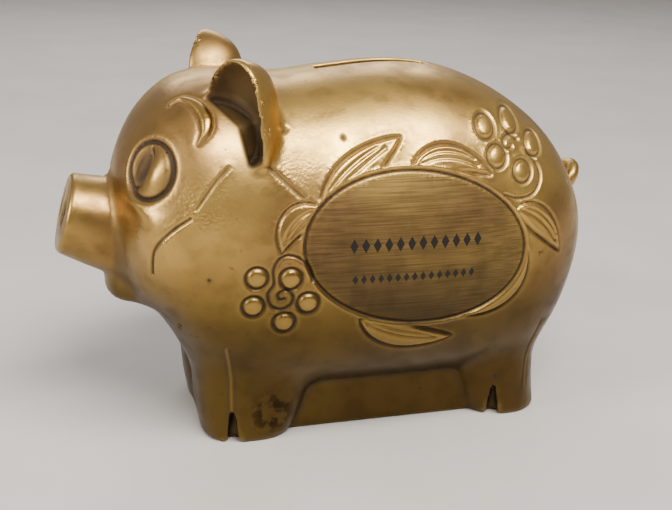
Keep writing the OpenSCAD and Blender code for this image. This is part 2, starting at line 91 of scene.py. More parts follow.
# Rounding of that outline, how far its hollow and its back swell, and half the rim's thickness
EAR_ROUND, EAR_CUP, EAR_BACK, EAR_RIM = 1.3, 6.8, 12, 1.4
# A point this far under the skin or less belongs to the outside
SKIN_DEPTH = 0.9


# ---------------------------------------------------------------- solids as distance fields
def smin(a, b, k):
    h = np.maximum(k - np.abs(a - b), 0) / k
    return np.minimum(a, b) - h * h * k * 0.25


def smax(a, b, k):
    return -smin(-a, -b, k)


def spline(points, steps):
    """A Catmull-Rom curve through the points."""
    p = np.vstack([points[0], points, points[-1]])
    t = np.linspace(0, 1, steps, endpoint=False)[:, None]
    runs = []
    for i in range(1, len(p) - 2):
        a, b, c, d = p[i - 1], p[i], p[i + 1], p[i + 2]
        runs.append(0.5 * (2 * b + (c - a) * t + (2 * a - 5 * b + 4 * c - d) * t ** 2
                           + (3 * b - a - 3 * c + d) * t ** 3))
    return np.vstack(runs + [p[-1:]])


def smoothed(table, width):
    """The table with its rows averaged over their neighbours, its two ends kept."""
    kernel = np.exp(-np.linspace(-2, 2, 2 * width + 1) ** 2)
    kernel /= kernel.sum()
    padded = np.vstack([2 * table[0] - table[width:0:-1], table,
                        2 * table[-1] - table[-2:-width - 2:-1]])
    return np.stack([np.convolve(c, kernel, "valid") for c in padded.T], 1)


TRUNK = smoothed(spline(STATIONS, 40), 16)


def trunk_radial(x, y, z):
    """How far (x, y, z) lies outside the trunk, measured straight out from its middle line."""
    s = np.clip(x - FACE_X, TRUNK[0, 0], TRUNK[-1, 0])
    top, low, mid, half = (np.interp(s, TRUNK[:, 0], TRUNK[:, i]) for i in (1, 2, 3, 4))
    up = z >= mid
    rise = np.where(up, top - mid, mid - low)
    p = np.where(up, ABOVE, BELOW)
    across, along = np.abs(y) / half, np.abs(z - mid) / rise
    ratio = np.maximum((across ** p + along ** p) ** (1 / p), 1e-3)
    return np.hypot(y, z - mid) * (1 - 1 / ratio) - (ratio < 0.02) * 30


def trunk(x, y, z):
    d = trunk_radial(x, y, z)
    slope = trunk_radial(x + 0.5, y, z) - trunk_radial(x - 0.5, y, z)
    d = d / np.sqrt(1 + np.minimum(slope ** 2, 400))
    return smax(smax(d, FACE_X - x, 2), x - FACE_X - STATIONS[-1, 0], 2)


def snout_frame(x, z):
    """Distance along the snout's axis and across it, in its upright plane."""
    c, s = math.cos(SNOUT_TILT), math.sin(SNOUT_TILT)
    return -(x - SNOUT_X) * c + (z - SNOUT_Z) * s, (x - SNOUT_X) * s + (z - SNOUT_Z) * c


def snout(x, y, z):
    t, v = snout_frame(x, z)
    r = np.hypot(y, v)
    share = np.clip((t + SNOUT_ROOT) / (SNOUT_LEN + SNOUT_ROOT), 0, 1.1)
    side = SNOUT_ROOT_R + (SNOUT_R - SNOUT_ROOT_R) * share - 0.5 * np.sin(np.pi * share)
    side = side + SNOUT_CHIN * np.clip(-v / np.maximum(r, 1), 0, 1) * (1 - share ** 3)
    front = SNOUT_LEN + SNOUT_DOME * (1 - (r / SNOUT_R) ** 2)
    return smax(smax(r - side, t - front, 1.5), -SNOUT_ROOT - t, 1)


def nostril(x, y, z):
    t, v = snout_frame(x, z)
    deep, wide, high = NOSTRIL_HALF
    return (np.sqrt(((t - SNOUT_LEN - SNOUT_DOME) / deep) ** 2 + ((y - NOSTRIL_Y) / wide) ** 2
                    + ((v - NOSTRIL_V) / high) ** 2) - 1) * wide


def lip(x, y, z):
    along, rise = (x - FACE_X - 6.4) / 8.4, (z - 45.4 - 0.12 * (FACE_X - x)) / 5.2
    return ((np.abs(along) ** 2.8 + (y / 11) ** 2 + np.abs(rise) ** 2.8) ** 0.45 - 1) * 6


def ear_frame():
    up = (EAR_TIP - EAR_LOW) / np.linalg.norm(EAR_TIP - EAR_LOW)
    out = EAR_OPEN - (EAR_OPEN @ up) * up
    out /= np.linalg.norm(out)
    return up, np.cross(up, out), out


def ear(x, y, z):
    """The two fields of a cupped leaf: its shell, and the hollow that opens to the front."""
    up, wide, out = ear_frame()
    q = np.stack([x, -y, z], -1) - (EAR_LOW + EAR_TIP) / 2
    a, b, n = q @ up, q @ wide, q @ out
    edge, total = np.roll(EAR_EDGE, -1, 0) - EAR_EDGE, 0
    for p, e in zip(EAR_EDGE, edge):
        e = e / np.linalg.norm(e)
        total = total + np.exp(np.clip(((a - p[0]) * e[1] - (b - p[1]) * e[0]) / EAR_ROUND, -40, 40))
    inside = EAR_ROUND * np.log(total)
    depth = np.maximum(-inside, 0)
    front = n + EAR_CUP * (1 - np.exp(-np.maximum(depth - 0.8, 0) / 2.7)) - EAR_RIM
    back = n + EAR_BACK * (1 - np.exp(-depth / 3.6)) + EAR_RIM
    shell = smax(smax(-back, front, 1.8), inside, 2)
    head = 0.6 * (1.18 * np.maximum(n, 0) - b - 3.5 - 1.2 * np.maximum(a + 4, 0))
    cup = smax(smax(-front, n - 6, 1), smax(inside + 1.2, head, 1), 1)
    return shell * 0.7, cup * 0.7


def tail(x, y, z):
    """The curled tail, a ring that leans against the rump."""
    c, s = math.cos(TAIL_TILT), math.sin(TAIL_TILT)
    dx, dz = x - (BODY_HI[0] - TAIL_R * s - TAIL_HALF), z - TAIL_Z
    flat, rise = dx * c - dz * s, dx * s + dz * c
    return np.hypot(np.hypot(rise, y) - TAIL_R, flat) - TAIL_HALF


def round_box(x, y, length, width, corner):
    qx, qy = np.abs(x - SKIRT_X) - length + corner, np.abs(y) - width + corner
    return np.hypot(np.maximum(qx, 0), np.maximum(qy, 0)) + np.minimum(np.maximum(qx, qy), 0) - corner


def leg(x, y, z, low, high, flare, square):
    """A leg from low to high along the floor, which spreads by flare at its front and back."""
    grow = 1 - np.exp(-np.clip(z, 0, LEG_TOP) / 13)
    low, high = low - flare[0] * grow, high + flare[1] * grow
    half, deep = (high - low) / 2, FOOT_R + 0.3 * np.exp(-((z - 3.5) / 2.6) ** 2) + 2 * grow
    dx, dy = np.abs(x - (low + high) / 2) / half, np.abs(y - FOOT_Y) / deep
    return smax(((dx ** square + dy ** square) ** (1 / square) - 1) * FOOT_R, z - LEG_TOP, 4)


def cleft(x, y, z, middle):
    """The notch in the front outer side of a foot, wide at the floor."""
    c, s = math.cos(CLEFT_TURN), math.sin(CLEFT_TURN)
    dx, dy = x - middle, y - FOOT_Y
    out, side = dx * c + dy * s, -dx * s + dy * c
    wall = np.abs(side) - CLEFT_W * np.clip(1.15 - z / 12, 0, 1)
    return smax(smax(wall, CLEFT_OUT - out, 0.5), z - CLEFT_TOP, 1)


def outer(p):
    """The casting's outer skin, as a distance that is negative inside."""
    x, y, z = p[..., 0], np.abs(p[..., 1]), p[..., 2]
    d = smin(trunk(x, y, z), snout(x, y, z), 3)
    d = smin(d, lip(x, y, z), 2.4)
    shell, cup = ear(x, y, z)
    d = smax(smin(d, shell, 1.6), -cup, 0.8)
    d = smin(d, tail(x, y, z), 1.2)
    front = leg(x, y, z, FRONT_X - FOOT_R - 0.3, FRONT_X + FOOT_R, (3, 9), 2.7)
    rear = leg(x, y, z, REAR_X - FOOT_R, REAR_X + FOOT_R - 0.6, (7, -2.5), 2.2)
    d = smin(d, smin(front, rear, 1), 4)
    d = smin(d, smax(round_box(x, y, SKIRT_L, SKIRT_W, 6), z - SKIRT_H, 2), 0.8)
    for middle in (FRONT_X, REAR_X):
        d = smax(d, -cleft(x, y, z, middle), 0.7)
    d = smax(d, -nostril(x, y, z), 0.8)
    return smax(d, -z, 1.0)


def hollow(p):
    """The room inside: the trunk, the snout's bore, the base box and the coin slot."""
    x, y, z = p[..., 0], np.abs(p[..., 1]), p[..., 2]
    room = smax(trunk(x, y, z) + WALL + 0.2, WALL - ear(x, y, z)[1], 1)
    t, v = snout_frame(x, z)
    bore = smax(smax(np.hypot(y, v) - SNOUT_R + 2 * WALL, t - SNOUT_LEN + 6, 1), -t - SNOUT_ROOT, 1)
    room = smin(room, bore, 1)
    base = smax(round_box(x, y, BOX_L, BOX_W, 4.3), z - BOX_H, 0.6)
    room = smin(room, base, 0.6)
    boss = np.hypot(np.abs(x - SKIRT_X) - BOSS_X, y - BOSS_Y)
    room = smax(room, -smax(smax(boss - BOSS_R, BOSS_Z0 - z, 0.4), z - BOSS_Z1, 0.6), 0.5)
    room = np.minimum(room, np.maximum(boss - PILOT_R, z - PILOT_Z1))
    slot = smax(np.abs(x - SLOT_X) - SLOT_L, y - SLOT_W, 0.4)
    return smin(room, smax(slot, SLOT_Z - z, 0.4), 0.5)


def casting(p):
    return smax(outer(p), -hollow(p), 0.5)


def gradient(field, p, step=0.05):
    g = np.empty_like(p)
    for i in range(3):
        d = np.zeros(3)
        d[i] = step
        g[:, i] = (field(p + d) - field(p - d)) / (2 * step)
    return g


def unit(v):
    return v / np.maximum(np.linalg.norm(v, axis=-1, keepdims=True), 1e-9)


def settle(field, p, rounds=3):
    """Moves points onto the field's surface."""
    for _ in range(rounds):
        g = gradient(field, p)
        move = (field(p) / np.maximum((g * g).sum(1), 0.25))[:, None] * g
        length = np.linalg.norm(move, axis=1, keepdims=True)
        p = p - move * np.minimum(1, 0.8 / np.maximum(length, 1e-9))
    return p


# ---------------------------------------------------------------- meshing
def surface_net(field, low, high, step):
    """A closed mesh of quads, one point in each cell that the surface crosses."""
    axes = [np.arange(a, b + step, step) for a, b in zip(low, high)]
    grid = np.stack(np.meshgrid(*axes, indexing="ij"), -1)
    value = np.stack([field(layer) for layer in grid])
    inside = value < 0
    corner = [(i, j, k) for i in (0, 1) for j in (0, 1) for k in (0, 1)]
    n = np.array(value.shape)

    def part(a, c):
        return a[c[0]:n[0] - 1 + c[0], c[1]:n[1] - 1 + c[1], c[2]:n[2] - 1 + c[2]]

    count = sum(part(inside, c).astype(np.int8) for c in corner)
    active = (count > 0) & (count < 8)
    index = np.full(active.shape, -1)
    index[active] = np.arange(active.sum())
    total, hits = np.zeros((active.sum(), 3)), np.zeros(active.sum())
    for c in corner:
        for axis in range(3):
            if c[axis]:
                continue
            e = list(c)
            e[axis] = 1
            a, b = part(value, c)[active], part(value, e)[active]
            crossed = (a < 0) != (b < 0)
            t = np.where(crossed, a / np.where(crossed, a - b, 1), 0)
            point = np.tile(np.array(c, float), (len(a), 1))
            point[:, axis] = t
            total += point * crossed[:, None]
            hits += crossed
    points = (np.argwhere(active) + total / hits[:, None]) * step + np.array([a[0] for a in axes])
    return points, net_faces(inside, index)


def net_faces(inside, index):
    quads = []
    for axis in range(3):
        u, v = (axis + 1) % 3, (axis + 2) % 3
        here = np.moveaxis(inside, (axis, u, v), (0, 1, 2))
        cell = np.moveaxis(index, (axis, u, v), (0, 1, 2))
        a, b = here[:-1, 1:-1, 1:-1], here[1:, 1:-1, 1:-1]
        i, j, k = np.nonzero(a != b)
        quad = np.stack([cell[i, j, k], cell[i, j + 1, k],
                         cell[i, j + 1, k + 1], cell[i, j, k + 1]], 1)
        flip = ~a[i, j, k]
        quad[flip] = quad[flip][:, ::-1]
        quads.append(quad)
    return np.vstack(quads)


def triangles(points, quads):
    """Each quad cut along its shorter diagonal."""
    a, b, c, d = (points[quads[:, i]] for i in range(4))
    swap = np.linalg.norm(a - c, axis=1) > np.linalg.norm(b - d, axis=1)
    first = np.where(swap[:, None], quads[:, [0, 1, 3]], quads[:, [0, 1, 2]])
    second = np.where(swap[:, None], quads[:, [1, 2, 3]], quads[:, [0, 2, 3]])
    return np.vstack([first, second])


def split(points, faces, wanted):
    """Cuts every edge that is longer than wanted says in half, and its triangles with it."""
    edges = np.sort(faces[:, [0, 1, 1, 2, 2, 0]].reshape(-1, 2), 1)
    unique, back = np.unique(edges, axis=0, return_inverse=True)
    back = back.reshape(-1, 3)
    middle = (points[unique[:, 0]] + points[unique[:, 1]]) / 2
    length = np.linalg.norm(points[unique[:, 0]] - points[unique[:, 1]], axis=1)
    cut = length > wanted(middle)
    number = np.full(len(unique), -1)
    number[cut] = len(points) + np.arange(cut.sum())
    middles = number[back]
    marked = middles >= 0
    made = [faces[~marked.any(1)]]
    for turn in range(3):
        f, m = np.roll(faces, -turn, 1), np.roll(middles, -turn, 1)
        on = np.roll(marked, -turn, 1)
        one = on[:, 0] & ~on[:, 1] & ~on[:, 2]
        made += [np.stack([f[one, 0], m[one, 0], f[one, 2]], 1),
                 np.stack([m[one, 0], f[one, 1], f[one, 2]], 1)]
        two = on[:, 0] & on[:, 1] & ~on[:, 2]
        made += [np.stack([m[two, 0], f[two, 1], m[two, 1]], 1),
                 np.stack([f[two, 0], m[two, 0], m[two, 1]], 1),
                 np.stack([f[two, 0], m[two, 1], f[two, 2]], 1)]
    every = marked.all(1)
    f, m = faces[every], middles[every]
    made += [np.stack([f[:, 0], m[:, 0], m[:, 2]], 1), np.stack([m[:, 0], f[:, 1], m[:, 1]], 1),
             np.stack([m[:, 2], m[:, 1], f[:, 2]], 1), m]
    return np.vstack([points, middle[cut]]), np.vstack(made), len(points)


# ---------------------------------------------------------------- ornament on the casting
# The flank's ornament is drawn on its side view, (x, z), and is the same on both sides.
OVAL_MIDDLE, OVAL_HALF, OVAL_TILT = (15.1, 62.7), (33.0, 22.0), math.radians(-8)
# Each leaf: foot, the point it bends towards, tip, half width, side vein's place (1 is the edge)
LEAVES = [((-12.6, 75.8), (-5.0, 84.6), (10.7, 93.0), 4.5, 0.45),
          ((12.8, 84.6), (23.5, 91.2), (36.6, 82.5), 3.5, 0.45),
          ((-13.2, 75.6), (-22.5, 74.5), (-24.0, 64.2), 3.7, 0.4),
          ((44.7, 72.4), (54.0, 70.2), (60.7, 58.0), 3.7, 0.4),
          ((48.2, 60.5), (47.0, 44.5), (29.3, 41.6), 3.5, -0.45),
          ((-1.0, 42.8), (10.0, 33.6), (27.4, 34.4), 4.1, 0.4)]
# The middles of the two clusters' berries, and the lines of their curling stems
BERRIES = [(-30.7, 56.9), (-21.4, 56.4), (-31.5, 48.3), (-16.4, 48.9), (-22.8, 43.0),
           (37.2, 94.4), (46.6, 94.9), (53.4, 88.4), (39.4, 86.8), (47.4, 82.2)]
BERRY_R = 3.1
STEMS = [[(-15.6, 55.6), (-16.2, 59.2), (-19.1, 62.3), (-22.6, 63.3), (-25.0, 61.8), (-26.3, 58.6),
          (-26.0, 55.0), (-27.6, 52.0), (-26.8, 48.6), (-24.0, 47.2), (-21.2, 48.6), (-20.7, 51.3),
          (-22.6, 53.2), (-24.8, 52.0), (-24.4, 50.2), (-23.0, 50.5)],
         [(40.6, 76.6), (45.5, 75.2), (50.6, 76.0), (53.6, 79.6), (53.0, 83.6), (50.2, 86.6)],
         [(47.6, 90.0), (45.2, 91.8), (42.6, 90.6), (42.9, 88.6), (44.9, 88.6)]]
CUT_W, CUT_DEEP = 0.48, 0.5

# The head's marks are points of the side view, (x, z), and lie on both halves of the head.
EYE = (-57.6, 84.6)
EYE_HALF, EYE_TILT = (8.6, 7.9), math.radians(-16)
LENS_MIDDLE, LENS_HALF = (-3.1, -0.7), (3.2, 5.6)
BROW = [(-50.2, 100.4), (-47.0, 102.0), (-43.8, 101.0), (-42.0, 98.4), (-42.4, 95.4), (-44.6, 92.6)]
SMILE = [(-57.4, 56.5), (-57.3, 60.0), (-56.6, 63.6), (-54.9, 67.0), (-51.8, 70.8), (-48.0, 73.9)]
CHEEK_LINE = [(-46.4, 76.4), (-44.0, 79.8), (-41.0, 83.6), (-37.4, 87.0)]
CHEEKS = (((-57.0, 68.6), 1.5, 6.5), ((-52.6, 61.0), 0.6, 7.5))
SHOULDER = [(-20.4, 95.4), (-24.4, 92.4), (-27.8, 88.6), (-24.6, 85.0), (-21.4, 82.0), (-17.6, 78.6)]
# Each seam: the leg's middle, and its angle round the leg in degrees; each pit: x, z and size
SEAMS = ((FRONT_X, 115), (REAR_X, 70))
PITS = ((-5.2, 93.3, 0.7), (-43.4, 56.5, 0.6), (47.5, 14.0, 0.8), (46.0, 9.0, 0.7))


def turned(x, z, middle, tilt):
    c, s = math.cos(tilt), math.sin(tilt)
    dx, dz = x - middle[0], z - middle[1]
    return dx * c + dz * s, dz * c - dx * s


def oval_gap(x, z):
    """About how far a point of the side view lies outside the plain oval."""
    a, b = turned(x, z, OVAL_MIDDLE, OVAL_TILT)
    p, q = OVAL_HALF
    r = np.sqrt((a / p) ** 2 + (b / q) ** 2)
    slope = np.sqrt((a / p ** 2) ** 2 + (b / q ** 2) ** 2) / np.maximum(r, 1e-6)
    return (r - 1) / np.maximum(slope, 1 / 40)


def line_gap(p, line):
    """The distance to a line of points, and the share of it and the side where that is."""
    best = np.full(len(p), 1e9)
    share, side = np.zeros(len(p)), np.zeros(len(p))
    for i, (a, b) in enumerate(zip(line[:-1], line[1:])):
        e = b - a
        t = np.clip(((p - a) @ e) / (e @ e), 0, 1)
        d = p - a - t[:, None] * e
        gap = np.sqrt((d * d).sum(1))
        near = gap < best
        best = np.where(near, gap, best)
        share = np.where(near, (i + t) / (len(line) - 1), share)
        if p.shape[1] == 2:
            side = np.where(near, np.sign(e[0] * d[:, 1] - e[1] * d[:, 0]), side)
    return best, share, side


def cut(gap, width=CUT_W, deep=CUT_DEEP):
    """An incised line with a little metal pushed up along its edges."""
    return deep * (0.35 * np.exp(-((gap - 2.1 * width) / width) ** 2) - np.exp(-(gap / width) ** 2))


class Relief:
    """Adds up heights, and the nearest distance to a fine line, for points of the skin."""

    def __init__(self, p, normal):
        side = np.where(p[:, 1:2] > 0, [1, -1, 1], [1, 1, 1])
        self.p, self.normal = p * side, normal * side
        self.height = np.zeros(len(p))
        self.near = np.full(len(p), 99.0)
        self.dark = np.zeros(len(p))

    def add(self, pick, height, gap):
        self.height[pick] += height
        self.dark[pick] = np.maximum(self.dark[pick], np.clip(-height * 2.2, 0, 1))
        self.near[pick] = np.minimum(self.near[pick], gap)


def add_oval(r, pick, x, z):
    gap = oval_gap(x, z)
    ring = cut(np.abs(gap), 0.42, 0.5) + 0.32 * np.exp(-((gap - 1.0) / 0.55) ** 2)
    r.add(pick, ring - 0.22 / (1 + np.exp(gap / 0.4)), np.abs(gap - 0.4))


def add_leaf(r, pick, x, z, leaf):
    foot, bend, tip, width, vein = leaf
    t = np.linspace(0, 1, 15)[:, None]
    line = (1 - t) ** 2 * np.array(foot) + 2 * t * (1 - t) * np.array(bend) + t ** 2 * np.array(tip)
    gap, share, side = line_gap(np.column_stack([x, z]), line)
    half = width * np.sin(np.pi * share ** 0.9) ** 0.75 + 0.05
    free = 1 / (1 + np.exp(-(oval_gap(x, z) - 1.2) / 0.3))
    rise = 0.55 * np.clip(1 - (gap / half) ** 2, 0, 1) ** 0.6
    edge, rib = np.abs(gap - half), gap
    side_rib = np.abs(gap * side - vein * half)
    lines = cut(edge) + 0.7 * cut(rib) * (share < 0.86)
    lines = lines + 0.55 * cut(side_rib, 0.4) * (share > 0.12) * (share < 0.8)
    fine = np.where(free > 0.05, np.minimum(np.minimum(edge, rib), side_rib), 99)
    r.add(pick, (rise + lines) * free, fine)


def add_flank(r):
    for leaf in LEAVES:
        low, high = np.min(leaf[:3], 0) - 5, np.max(leaf[:3], 0) + 5
        pick = side_points(r, low, high)
        add_leaf(r, pick, r.p[pick, 0], r.p[pick, 2], leaf)
    pick = side_points(r, (-22, 36), (52, 90))
    add_oval(r, pick, r.p[pick, 0], r.p[pick, 2])
    for berry in BERRIES:
        pick = side_points(r, np.array(berry) - 6, np.array(berry) + 6)
        gap = np.hypot(r.p[pick, 0] - berry[0], r.p[pick, 2] - berry[1])
        dome = 0.75 * np.clip(1 - (gap / (BERRY_R - 0.6)) ** 2, 0, 1) ** 0.7
        r.add(pick, dome + cut(np.abs(gap - BERRY_R)), np.abs(gap - BERRY_R))
    for stem in STEMS:
        line = spline(np.array(stem), 4)
        pick = side_points(r, line.min(0) - 3, line.max(0) + 3)
        gap = line_gap(r.p[pick][:, [0, 2]], line)[0]
        r.add(pick, cut(gap), gap)


def side_points(r, low, high):
    """The skin's points in a rectangle of the side view, without those near the middle plane."""
    x, y, z = r.p.T
    within = (x > low[0]) & (x < high[0]) & (z > low[1]) & (z < high[1])
    return np.nonzero(within & (y < -8))[0]


def on_head(points):
    """Points of the side view carried onto the casting's left side."""
    p = np.column_stack([points[:, 0], np.full(len(points), -34.0), points[:, 1]])
    for _ in range(30):
        p[:, 1] += np.clip(trunk(p[:, 0], np.abs(p[:, 1]), p[:, 2]), -2, 2)
    return p


def eye_frame():
    """Middle of the eye on the head, with its rightward, upward and outward directions."""
    middle = on_head(np.array([EYE]))
    out = unit(gradient(outer, middle, 1.0))[0]
    up = unit(np.array([0, 0, 1.0]) - out[2] * out)
    return middle[0], np.cross(up, out), up, out


def add_eye(r):
    middle, right, up, out = eye_frame()
    q = r.p - middle
    pick = np.nonzero((np.linalg.norm(q, axis=1) < 16) & (r.normal @ out > 0.1))[0]
    q = q[pick]
    a, b = turned(q @ right, q @ up, (0, 0), EYE_TILT)
    ring = np.sqrt((a / EYE_HALF[0]) ** 2 + (b / EYE_HALF[1]) ** 2)
    gap = (ring - 1) * 7.5
    la, lb = a - LENS_MIDDLE[0], b - LENS_MIDDLE[1]
    lens = np.sqrt((la / LENS_HALF[0]) ** 2 + (lb / LENS_HALF[1]) ** 2)
    lens_gap = (lens - 1) * 3.2
    inside = 1 / (1 + np.exp(gap / 0.5))
    lid = 1.15 * np.exp(-((a - 3.6) / 3.0) ** 2 - (b / 6.0) ** 2) * inside
    pit = -1.35 / (1 + np.exp(lens_gap / 0.4))
    pupil = 0.6 * np.exp(-((la + 0.9) / 1.2) ** 2 - ((lb + 0.2) / 3.6) ** 2)
    rim = -1.0 * np.exp(-(gap / 0.7) ** 2) + 0.2 * np.exp(-((gap - 1.6) / 1.0) ** 2)
    ledge = 0.9 * np.exp(-((b + 10.2) / 1.7) ** 2 - ((a - 0.5) / 6.5) ** 2)
    under = -0.5 * np.exp(-((b + 13.2) / 2.0) ** 2 - ((a - 0.5) / 7.0) ** 2)
    corner = -0.6 * np.exp(-((lens_gap - 0.2) / 0.5) ** 2) * (la > 0)
    r.add(pick, rim + corner, np.minimum(np.abs(gap), np.abs(lens_gap)))
    r.height[pick] += lid + pit + pupil + ledge + under
    # Painted shade: the lens pit is darkened, less so on the raised pupil.
    r.dark[pick] = np.maximum(r.dark[pick], np.clip(-pit * 0.75 - pupil * 0.4, 0, 1))


def add_head(r):
    add_eye(r)
    front = np.nonzero(r.p[:, 0] < -10)[0]
    p = r.p[front]
    for points, width, deep in ((SMILE, 0.5, 0.5), (CHEEK_LINE, 0.46, 0.42)):
        gap = line_gap(p, on_head(spline(np.array(points), 5)))[0]
        r.add(front, cut(gap, width, deep), gap)
    gap, share, _ = line_gap(p, on_head(spline(np.array(BROW), 5)))
    wide = 0.3 + 1.75 * np.sin(np.pi * share ** 1.35) ** 1.2
    brow = 1.5 * (wide / 2.05) * np.clip(1 - (gap / wide) ** 2, 0, 1) ** 0.75
    r.add(front, brow - 0.35 * np.exp(-((gap - wide - 0.3) / 0.4) ** 2), np.abs(gap - wide))
    gap = line_gap(p, on_head(spline(np.array(SHOULDER), 5)))[0]
    r.add(front, cut(gap, 0.6, 0.4), gap)
    cup = ear(p[:, 0], np.abs(p[:, 1]), p[:, 2])[1]
    r.add(front, np.zeros(len(front)), 0.5 * np.abs(cup) + 0.35)
    # Painted shade: the hollow of the ear's cup is darkened.
    r.dark[front] = np.maximum(r.dark[front], 0.85 * np.clip(1.3 - cup / 0.7, 0, 1))
    for place, rise, size in CHEEKS:
        middle = on_head(np.array([place]))[0]
        r.height[front] += rise * np.exp(-(((p - middle) ** 2).sum(1)) / size ** 2)


def add_snout(r):
    """A raised rim round the snout's disc and a crease where the snout leaves the face, with painted
    shade in the crease's lower part and in the nostrils.
    """
    front = np.nonzero(r.p[:, 0] < -55)[0]
    p = r.p[front]
    t, v = snout_frame(p[:, 0], p[:, 2])
    radius = np.hypot(p[:, 1], v)
    ring = np.hypot(radius - SNOUT_R + 0.7, np.minimum(t - SNOUT_LEN + SNOUT_DOME, 0))
    r.add(front, 0.3 * np.exp(-(ring / 0.8) ** 2), ring)
    face = trunk(p[:, 0], np.abs(p[:, 1]), p[:, 2])
    nose = snout(p[:, 0], np.abs(p[:, 1]), p[:, 2])
    low = 1 / (1 + np.exp((p[:, 2] - 66) / 4))
    near = face ** 2 + nose ** 2
    r.height[front] -= 0.5 * low * np.exp(-near / 2 ** 2)
    # Painted shade: the lower part of the crease and the nostril holes are darkened.
    hole = np.clip(1.3 - nostril(p[:, 0], np.abs(p[:, 1]), p[:, 2]) / 0.8, 0, 1)
    r.dark[front] = np.maximum(r.dark[front], np.maximum(0.6 * low * np.exp(-near / 3.6 ** 2), hole))


def add_seams(r):
    """The thin casting seams down the front and rear legs, and a few casting pits."""
    for middle, turn in SEAMS:
        a = math.radians(turn)
        dx, dy = r.p[:, 0] - middle, -r.p[:, 1] - FOOT_Y
        across = -dx * math.sin(a) + dy * math.cos(a)
        pick = np.nonzero((np.abs(across) < 2) & (dx * math.cos(a) + dy * math.sin(a) > 8)
                          & (r.p[:, 2] < 34) & (r.p[:, 2] > 9))[0]
        gap = np.abs(across[pick])
        r.add(pick, 0.3 * np.exp(-(gap / 0.4) ** 2) - 0.15 * np.exp(-((gap - 0.9) / 0.4) ** 2), gap)
    for x, z, size in PITS:
        middle = on_head(np.array([(x, z)]))[0]
        flat = np.hypot(r.p[:, 0] - x, r.p[:, 2] - z)
        pick = np.nonzero((flat < 3) & (np.abs(r.p[:, 1] - middle[1]) < 12))[0]
        r.add(pick, -0.5 * np.exp(-(flat[pick] / size) ** 2), flat[pick])


def relief(p, normal):
    r = Relief(p, normal)
    add_flank(r)
    add_head(r)
    add_snout(r)
    add_seams(r)
    return r


# ---------------------------------------------------------------- the casting's mesh
NET_STEP = 1.4
FINE, COARSE = 0.54, 2.4
INNER_KEPT = 0.12
# How far round a point its hollows and edges are felt for
REACH = 2.2


def sculpt():
    low, high = BODY_LO - 2.5, BODY_HI + 2.5
    points, quads = surface_net(casting, low, high, NET_STEP)
    points = settle(casting, points)
    faces = triangles(points, quads)

    def wanted(middle):
        skin = outer(middle) > -SKIN_DEPTH
        near = np.full(len(middle), 99.0)
        near[skin] = relief(middle[skin], unit(gradient(outer, middle[skin]))).near
        edge = np.maximum(np.abs(middle[:, 0] - SLOT_X) - SLOT_L, np.abs(middle[:, 1]) - SLOT_W)
        top = middle[:, 2] > SLOT_Z + 18
        near[top] = np.minimum(near[top], np.abs(edge[top]) + 0.3)
        return np.clip(FINE + 1.1 * (near - 0.8), FINE, COARSE)

    for _ in range(3):
        points, faces, old = split(points, faces, wanted)
        points[old:] = settle(casting, points[old:], 2)
    return points, faces


def dress(points):
    """Pushes the skin's points out to the ornament, and says how dark and how worn each is; the dark
    share darkens the cut lines, pits and concave hollows, and paints shade in the ear's cup, the
    nostrils, the snout's crease and the eye's pit.
    """
    skin = outer(points) > -SKIN_DEPTH
    normal = unit(gradient(outer, points[skin], 0.3))
    r = relief(points[skin], normal)
    points[skin] += normal * r.height[:, None]
    points[:, 2] = np.maximum(points[:, 2], 0)
    wide = sum(outer(points[skin] + REACH * s * a) for s in (-1, 1) for a in np.eye(3)) / 6
    curve = (wide - outer(points[skin])) / REACH
    dark, worn = np.ones(len(points)), np.zeros(len(points))
    dark[skin] = np.clip(r.dark + np.clip(-curve * 3.5 - 0.25, 0, 0.75), 0, 1)
    worn[skin] = np.clip(curve * 2.2 - 0.35, 0, 1) + np.clip(r.height * 0.9, 0, 0.8)
    oval = np.zeros(len(points))
    oval[skin] = (oval_gap(points[skin, 0], points[skin, 2]) < 0) & (np.abs(points[skin, 1]) > 25)
    return points, dark, np.clip(worn, 0, 1), oval


def make_mesh(name, points, faces, layers):
    mesh = bpy.data.meshes.new(name)
    mesh.from_pydata((points * MM).tolist(), [], faces.tolist())
    mesh.polygons.foreach_set("use_smooth", np.ones(len(faces), bool))
    for key, values in layers.items():
        mesh.attributes.new(key, "FLOAT", "POINT").data.foreach_set("value", values.astype(np.float32))
    mesh.update()
    made = bpy.data.objects.new(name, mesh)
    bpy.context.scene.collection.objects.link(made)
    return made


def thin_inside(body, inner):
    """Leaves the cavity's plain walls with fewer triangles."""
    group = body.vertex_groups.new(name="inner")
    group.add(np.nonzero(inner)[0].tolist(), 1.0, "REPLACE")
    inside = inner[np.array([p.vertices[0] for p in body.data.polygons])].mean()
    thin = body.modifiers.new("thin", "DECIMATE")
    thin.ratio = 1 - inside * (1 - INNER_KEPT)
    thin.vertex_group = group.name
    thin.vertex_group_factor = 1000
    graph = bpy.context.evaluated_depsgraph_get()
    mesh = bpy.data.meshes.new_from_object(body.evaluated_get(graph))
    body.modifiers.clear()
    body.vertex_groups.clear()
    body.data = mesh


def build_casting():
    points, faces = sculpt()
    inner = outer(points) < -SKIN_DEPTH
    points, dark, worn, oval = dress(points)
    body = make_mesh("body_casting_skin", points, faces, {"dark": dark, "worn": worn, "oval": oval})
    thin_inside(body, inner)
    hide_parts("body_casting")
    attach(body, "casting")
    return body


